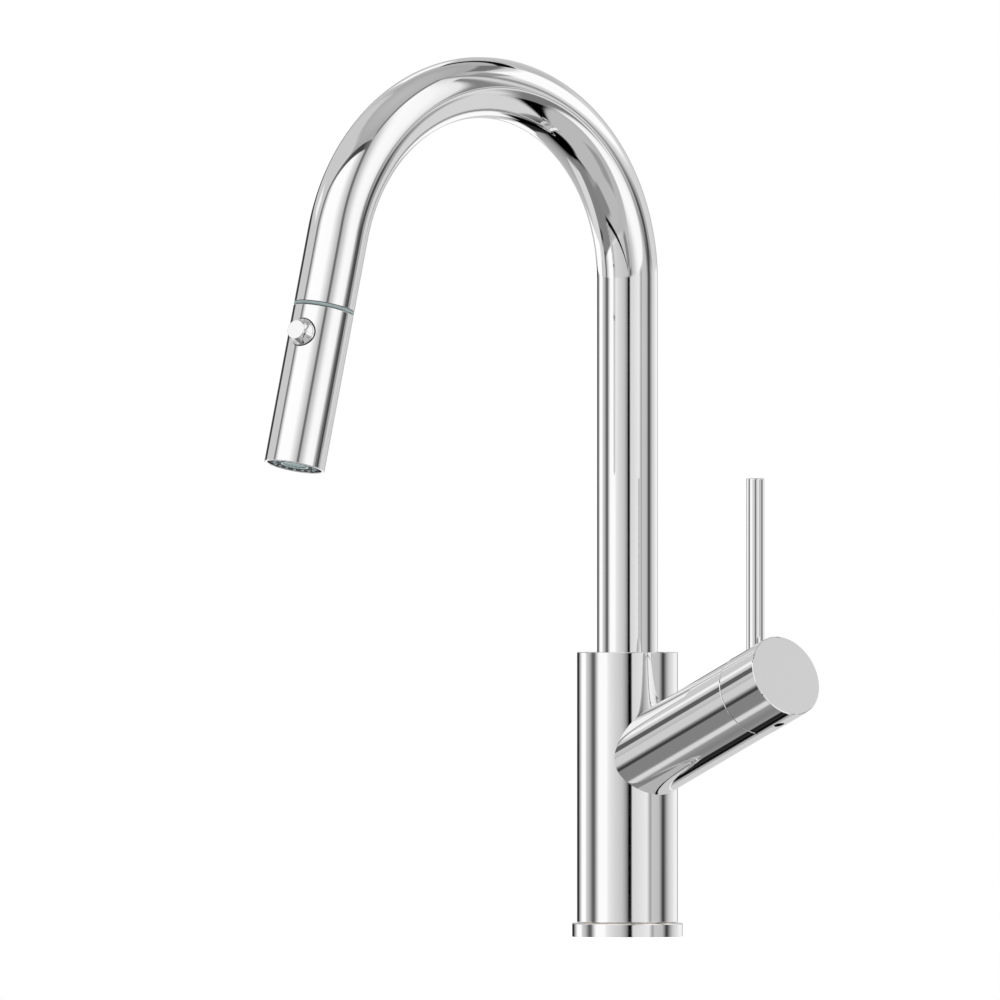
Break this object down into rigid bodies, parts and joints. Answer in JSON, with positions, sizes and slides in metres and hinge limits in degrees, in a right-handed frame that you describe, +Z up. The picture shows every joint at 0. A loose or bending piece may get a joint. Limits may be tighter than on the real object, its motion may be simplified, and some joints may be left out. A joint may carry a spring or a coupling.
{
  "type": "pull down kitchen faucet",
  "caption": "Single lever kitchen tap with a swivelling round gooseneck spout and a pull-down spray head with a push button",
  "frame": {"origin": "centre of the base ring's underside, on the deck", "axes": "+Z up along the body, -Y towards the spout's outlet, +X towards the handle"},
  "size_m": [0.1548, 0.2572, 0.4338],
  "materials": {
    "chrome": "polished chrome plate",
    "brass": "turned brass",
    "steel": "stainless steel",
    "rubber": "black sealing rubber",
    "ceramic": "lapped white ceramic",
    "grey_plastic": "grey-green moulded plastic",
    "white_plastic": "white acetal plastic",
    "dark_plastic": "dark moulded plastic",
    "silicone": "grey silicone",
    "hose_braid": "grey nylon braid over a hose"
  },
  "bodies": {
    "body": {"base_ring": "chrome", "base_gasket": "rubber", "fixing_base": "brass", "body_shell": "chrome", "core_block": "brass", "cartridge_seat": "brass", "hot_inlet": "brass", "cold_inlet": "brass", "mixed_outlet": "brass", "thrust_washer": "white_plastic", "lower_bush": "white_plastic", "upper_bush": "white_plastic", "cartridge_plate": "dark_plastic", "base_seal": "rubber", "fixed_disc": "ceramic", "cartridge_housing": "white_plastic", "cartridge_nut": "brass", "dome_ring": "chrome"},
    "spout": {"spout_collar": "brass", "spout_tube": "chrome", "dock_bush": "grey_plastic", "spray_hose": "hose_braid", "hose_connector": "brass"},
    "hose_end": {"hose_ferrule": "steel", "hose_nipple": "brass"},
    "spray_head": {"spray_shell": "chrome", "head_nut": "white_plastic", "nipple_seal": "rubber", "waterway_body": "white_plastic", "inlet_filter": "steel", "check_valve": "dark_plastic", "face_seal": "rubber", "face_plate": "dark_plastic", "nozzle_mat": "silicone", "aerator_housing": "grey_plastic", "aerator_screen": "steel", "aerator_insert": "white_plastic", "button_seal": "rubber", "button_spring": "steel"},
    "button": {"button": "chrome"},
    "temperature_carrier": {"rotor": "dark_plastic", "pivot_pin": "steel"},
    "ceramic_disc": {"moving_disc": "ceramic", "disc_carrier": "dark_plastic"},
    "lever": {"lever_stem": "steel", "stem_shield": "chrome", "handle_cap": "chrome", "lever_pin": "chrome", "grub_screw": "steel"}
  },
  "joints": [
    {"name": "spout_swivel", "type": "hinge", "parent": "body", "child": "spout", "pos_m": [0, 0, 0], "axis": [0, 0, 1], "continuous": true},
    {"name": "spray_pull", "type": "slide", "parent": "spout", "child": "hose_end", "axis": [0, -0.2375, -0.9714], "range_m": [0, 0.2], "stiffness_N_per_m": 12, "springref_m": -0.4},
    {"name": "spray_turn", "type": "hinge", "parent": "hose_end", "child": "spray_head", "pos_m": [0, -0.18728, 0.34659], "axis": [0, -0.2375, -0.9714], "continuous": true},
    {"name": "button_press", "type": "slide", "parent": "spray_head", "child": "button", "axis": [-0.2588, 0.9383, -0.2294], "range_m": [0, 0.002], "stiffness_N_per_m": 600, "springref_m": -0.004, "deforming": ["button_spring"]},
    {"name": "lever_temperature", "type": "hinge", "parent": "body", "child": "temperature_carrier", "pos_m": [0.07649, 0, 0.11242], "axis": [0.9317, 0, 0.3633], "range_deg": [-45, 45]},
    {"name": "lever_flow", "type": "hinge", "parent": "temperature_carrier", "child": "lever", "pos_m": [0.07649, 0, 0.11242], "axis": [0, 1, 0], "range_deg": [0, 20]},
    {"name": "disc_slide", "type": "slide", "parent": "temperature_carrier", "child": "ceramic_disc", "axis": [-0.3633, 0, 0.9317], "range_m": [0, 0.00434]}
  ],
  "couplings": [
    {"joint": "disc_slide", "follows": "lever_flow", "m_per_rad": 0.0124}
  ]
}
